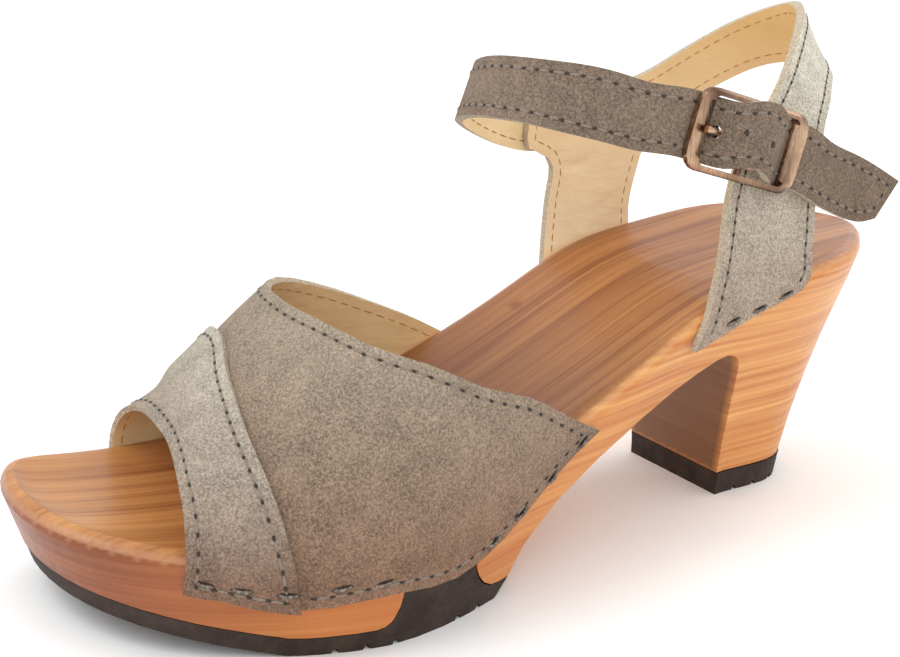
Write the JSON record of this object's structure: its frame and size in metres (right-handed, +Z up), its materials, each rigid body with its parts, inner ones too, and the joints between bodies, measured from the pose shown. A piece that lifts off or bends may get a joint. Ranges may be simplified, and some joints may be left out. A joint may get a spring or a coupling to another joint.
{
  "type": "wooden sole heeled sandal",
  "caption": "Heeled peep-toe sandal: carved wooden sole on rubber treads, stapled suede vamp, open heel sling and buckled ankle strap.",
  "frame": {"origin": "centre of the bounding box in plan, on the plane on which the heel lift and the forefoot tread stand", "axes": "+Y from the toe to the heel, +Z up, +X to the outer side of the foot, where the buckle is"},
  "size_m": [0.096, 0.253, 0.1343],
  "materials": {
    "alder_wood": "varnished, satin",
    "tread_rubber": "matt moulded",
    "suede": "napped, matt, with a smooth cream lining",
    "loop_leather": "smooth, matt",
    "antique_copper": "plated, antiqued, satin"
  },
  "bodies": {
    "root": {"wood_sole": "alder_wood", "forefoot_tread": "tread_rubber", "heel_lift": "tread_rubber", "vamp_rear_panel": "suede", "vamp_front_strip": "suede", "heel_sling": "suede", "ankle_strap": "suede", "buckle_loop": "loop_leather", "buckle_prong": "antique_copper", "buckle_frame": "antique_copper"}
  },
  "joints": []
}
